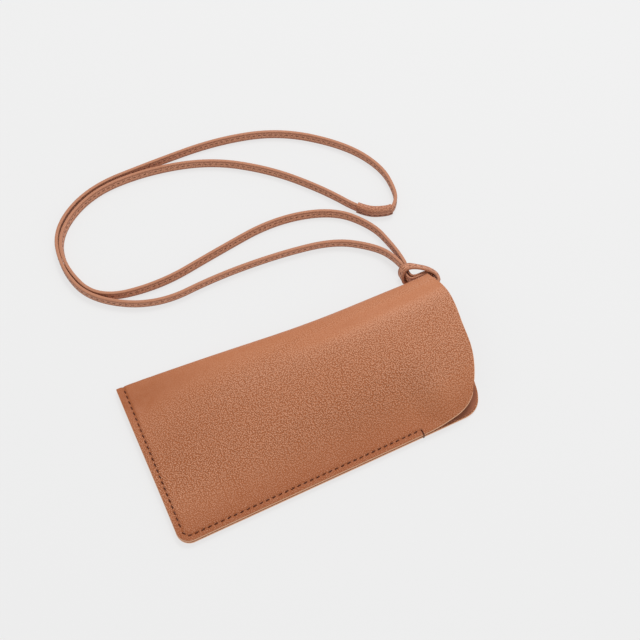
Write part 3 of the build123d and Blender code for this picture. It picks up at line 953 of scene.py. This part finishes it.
def make_bands(name, bands, profile, leather):
    """Flat bands of one section as one mesh. bands: the line and the width directions of each. Their
    leather carries painted light and shade: a painted shade line beside each rim, the face painted paler
    and the rims a little darker. It has cut edges and a light grain."""
    vertices = []
    faces = []
    patterns = []
    for line, across in bands:
        faces += shifted(sweep_faces(len(line), len(profile)), sum(len(part) for part in vertices))
        vertices.append(sweep_band(line, across, profile))
        patterns.append(band_pattern(line, profile))
    vertices = np.concatenate(vertices)
    rings = len(vertices) // len(profile)
    rim = np.abs(profile[:, 1])
    # Painted light and shade across the band: rims a little darker, a painted shade line just inside each,
    # and the face painted paler.
    painted_shading = np.where(rim > 0.40 * STRAP_WIDTH, -0.2, np.where(rim > 0.28 * STRAP_WIDTH, -0.7, 0.25))
    cut = np.where(rim > 0.44 * STRAP_WIDTH, 1.0, 0.0)
    values = {"painted_shading": np.tile(painted_shading, rings), "cut": np.tile(cut, rings),
              "grain": np.full(len(vertices), 0.7), "pattern": np.concatenate(patterns)}
    return new_mesh_object(name, vertices, faces, leather, values)


def band_stitches(name, stations, run, frames, half, thread):
    """Stitches in the grooves of a band's two faces. frames: its line and the ways that it runs, that
    its width lies and that its left face looks."""
    places = []
    for at in stations:
        middle, way, up, out = (read_line(at, run, part) for part in frames)
        places += both_faces(middle + unit(up) * STRAP_GROOVE_AT, way, out, half)
    return stitches(name, places, 0.95 * MM, 0.15 * MM, 0.20 * MM, thread, rings=7, around=6)


def make_strap(leather, thread):
    line, run, along, across, facing = strap_frames()
    profile = rounded_band_profile(STRAP_WIDTH - 0.1 * MM, STRAP_THICKNESS, 0.45 * MM, 0.10 * MM)
    band = make_bands("strap_band", [(line, across)], profile, leather)
    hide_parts("neck_strap")

    skip_start, skip_end = sleeve_reach(line, run)
    count = int((run[-1] - 8 * MM) / STRAP_STITCH_PITCH)
    stations = [4 * MM + (k + 0.5) * STRAP_STITCH_PITCH for k in range(count)]
    stations = [at for at in stations if not skip_start - 1.5 * MM < at < skip_end + 1.5 * MM]
    row = band_stitches("strap_stitches", stations, run, (line, along, across, facing),
                        STRAP_THICKNESS / 2 - 0.06 * MM, thread)
    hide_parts("strap_thread")
    for piece in (band, row):
        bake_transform(piece)
    return band, row, line


# ---- the strap's sleeve
SLEEVE_START = Vector((66.3, 92.9, 2.5)) * MM
SLEEVE_END = Vector((81.4, 84.3, 2.5)) * MM


def sleeve_reach(line, run):
    """Where, along the strap, the sleeve starts and ends."""
    half = len(line) * 2 // 3
    return tuple(run[np.argmin(np.linalg.norm(line[:half] - np.array(spot), axis=1))]
                 for spot in (SLEEVE_START, SLEEVE_END))


def make_sleeve(leather, thread, line):
    """Leather folded over the strap's two ends, open along its lower edge and sewn through."""
    run = lengths_along(line)
    start, end = sleeve_reach(line, run)
    stations = np.linspace(start, end, 46)
    spots = read_line(stations, run, line)
    spots[:, 2] = 0.0
    along = unit(np.gradient(spots, axis=0))
    facing = unit(np.cross(along, UP))
    inside = 0.90 * MM
    wall = 0.80 * MM
    tall = 6.25 * MM

    def half_section(reach, top):
        corner = reach * 0.85
        side = [(reach * out, z * MM) for out, z in (
            (1.0, 0.22), (1.03, 0.9), (0.98, 1.5), (1.03, 2.2), (1.06, 2.8), (1.02, 3.2), (1.06, 3.7),
            (1.01, 4.25))]
        crown = [(reach - corner + corner * math.cos(a), top - corner + corner * math.sin(a))
                 for a in np.radians((22, 45, 68, 90))]
        return side + [(reach, top - corner)] + crown

    outer = half_section(inside + wall, tall)
    inner = half_section(inside, tall - wall)
    lip = [(inside + wall * 0.85, 0.05 * MM), (inside + wall * 0.5, 0.0), (inside + wall * 0.15, 0.05 * MM)]
    ring = outer + [(-x, z) for x, z in reversed(outer[:-1])] + [(-x, z) for x, z in lip]
    back = inner + [(-x, z) for x, z in reversed(inner[:-1])]
    ring = np.array(ring + back[::-1] + lip[::-1])
    swell = 1.0 + 0.05 * np.sin(np.linspace(0, math.pi, len(stations)))
    swell[0], swell[-1] = 1.0, 0.96
    vertices = (spots[:, None, :] + facing[:, None, :] * (ring[None, :, 0] * swell[:, None])[..., None])
    vertices[..., 2] += ring[None, :, 1]
    around = len(ring)
    faces = tube_sides(len(stations), around)
    outside = len(outer) * 2 - 1
    for j in range(outside - 1):
        mirror = outside + len(lip) + (outside - 1 - j)
        end_quad = (j, j + 1, mirror - 1, mirror)
        faces += [end_quad[::-1]] + shifted([end_quad], (len(stations) - 1) * around)
    # Painted light and shade by height: painted shade near the floor and in the creases at 1.5, 3.2 and
    # 4.25 mm, and a painted highlight at 5.35 mm, where the crown turns down into the side.
    painted_shading = np.interp(ring[:, 1] / MM, (0.2, 1.5, 2.2, 2.8, 3.2, 3.7, 4.25, 4.8, 5.35, 5.85, 6.25),
                     (-0.7, -0.9, -0.5, 0.0, -0.8, -0.2, -0.9, -0.1, 0.8, -0.1, -0.4))
    painted_shading = np.tile(painted_shading, len(stations))
    wrap = new_mesh_object("sleeve_wrap", vertices.reshape(-1, 3), faces, leather,
                           {"painted_shading": painted_shading, "cut": np.zeros(len(painted_shading)), "grain": np.full(len(painted_shading), 0.7),
                            "pattern": band_pattern(spots, ring)})
    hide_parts("strap_joint_sleeve")
    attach(wrap, "strap")

    # A row of stitches along the sleeve, and two that lean back up from it at its start.
    marks = [(at, 1.5 * MM, False) for at in np.arange(start + 1.8 * MM, end - 1.0 * MM, 2.6 * MM)]
    marks += [(start + 0.8 * MM, 3.1 * MM, True), (start + 2.9 * MM, 2.3 * MM, True)]
    places = []
    for at, height, leaning in marks:
        middle = read_line(at, run, line)
        middle[2] = height
        way, out = (read_line(at, stations, part) for part in (along, facing))
        if leaning:
            way = np.cross(out, UP) * 0.6 + UP * 0.8
        places += both_faces(middle, way, out, (inside + wall) * (1.03 if leaning else 1.02))
    row = stitches("sleeve_stitches", places, 0.95 * MM, 0.22 * MM, 0.22 * MM, thread, rings=7, around=6)
    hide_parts("sleeve_thread")
    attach(row, "strap")
    return wrap, row


# ---- the hitch
# The bight of the strap: each row is a point of its middle line and, unless it stands on edge there,
# the way its width lies, in millimetres. Out of the slot inside the pouch, round the mouth's edge, over
# the tails, round them and back beneath itself.
BIGHT = [
    (79.4, 35.4, 5.6), (79.3, 33.0, 6.0), (80.5, 31.4, 6.2), (82.6, 32.4, 6.5, -0.2, -0.2, 1),
    (83.5, 35.6, 6.8, -0.5, -0.3, 0.8), (82.4, 38.7, 7.1, -0.5, -0.5, 0.7),
    (79.7, 41.4, 7.6, -0.4, -0.7, 0.6), (76.0, 43.8, 8.1, -0.1, -0.9, 0.6), (72.3, 45.7, 8.3, 0, -1, 0.4),
    (69.2, 46.1, 7.7, 0, -1, 0.2), (67.4, 45.0, 5.0, 0, -1, 0.1), (67.4, 43.4, 1.6, 0, -1, 0),
    (69.8, 42.2, 0.8, 0, -1, 0), (73.4, 41.2, 0.8, 0, -1, 0), (77.8, 41.0, 0.9, 0, -1, 0.1),
    (81.4, 40.2, 2.6, 0, -0.6, -0.8), (84.0, 37.2, 3.2, 0, 0, -1), (83.4, 33.0, 4.4, 0, 0, -1),
    (81.2, 32.6, 5.2, 0, 0, -1), (80.7, 35.4, 5.6, 0, 0, -1)
]
# The strap's two strands between the slot and the knot, in the same way.
TAILS = [
    [(80.6, 36.2, 5.0), (81.8, 39.3, 4.4), (78.6, 40.6, 4.4), (74.8, 40.4, 4.2), (71.9, 40.9, 4.2),
     (71.1, 43.2, 4.3), (71.4, 46.5, 4.4), (72.1, 50.4, 4.4)],
    [(79.4, 36.2, 5.0), (80.4, 38.9, 4.4), (77.4, 39.5, 4.4), (73.6, 39.4, 4.2), (70.2, 39.9, 4.2),
     (69.4, 42.6, 4.3), (69.8, 46.4, 4.4), (70.5, 50.4, 4.4)]
]


def ribbon(rows):
    """Line and width directions of a band along listed points, turning as their rows say."""
    middles = [Vector(row[:3]) * MM for row in rows]
    tips = [middle + Vector(row[3:] or UP).normalized() * MM for middle, row in zip(middles, rows)]
    line = smooth_line(middles, 10)
    return line, unit(smooth_line(tips, 10) - line)


def make_hitch(leather, thread):
    made = []
    for name, node, bands, thickness in (("hitch_bight", "hitch_knot", [BIGHT], 1.25 * MM),
                                         ("hitch_tails", "hitch_loop", TAILS, 1.0 * MM)):
        profile = rounded_band_profile(STRAP_WIDTH - 0.2 * MM, thickness, 0.38 * MM, 0.08 * MM)
        piece = make_bands(name, [ribbon(rows) for rows in bands], profile, leather)
        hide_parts(node)
        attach(piece, "pouch")
        made.append(piece)

    line, across = ribbon(BIGHT)
    run = lengths_along(line)
    along = unit(np.gradient(line, axis=0))
    outward = unit(np.cross(along, across))
    row = band_stitches("hitch_stitches", np.arange(4.0 * MM, run[-1] * 0.62, STRAP_STITCH_PITCH), run,
                        (line, along, across, outward), 0.56 * MM, thread)
    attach(row, "pouch")
    return made + [row]


# ---- making it all
make_camera()

thread = thread_material()
# Strap colours: face; pale, for random flecks, the grain's painted highlights and the painted light; dark,
# for random mottling, the grain's painted shade and the painted shade; and the cut edge.
strap_leather = leather_material("strap_leather", srgb(200, 134, 101), srgb(220, 164, 132),
                                 srgb(138, 82, 58), srgb(182, 124, 94), 0.8 * MM, 0.12 * MM)
strap, strap_row, strap_line = make_strap(strap_leather, thread)
wrap, wrap_row = make_sleeve(strap_leather, thread, strap_line)
bight, tails, hitch_row = make_hitch(strap_leather, thread)

# Pouch colours: face; pale, for random flecks, the grain's painted highlights and the painted light; dark,
# for random mottling, the grain's painted shade and the painted shade; and a pale cut edge, partly its own
# colour and partly a painted highlight.
leather = leather_material("pouch_leather", srgb(189, 120, 81), srgb(227, 170, 139), srgb(154, 82, 38),
                           srgb(232, 176, 138), 0.74 * MM, 0.36 * MM)
lining = lining_material()
make_front(leather, lining)
make_back(leather, lining)
make_seam_thread(thread)
make_stage()
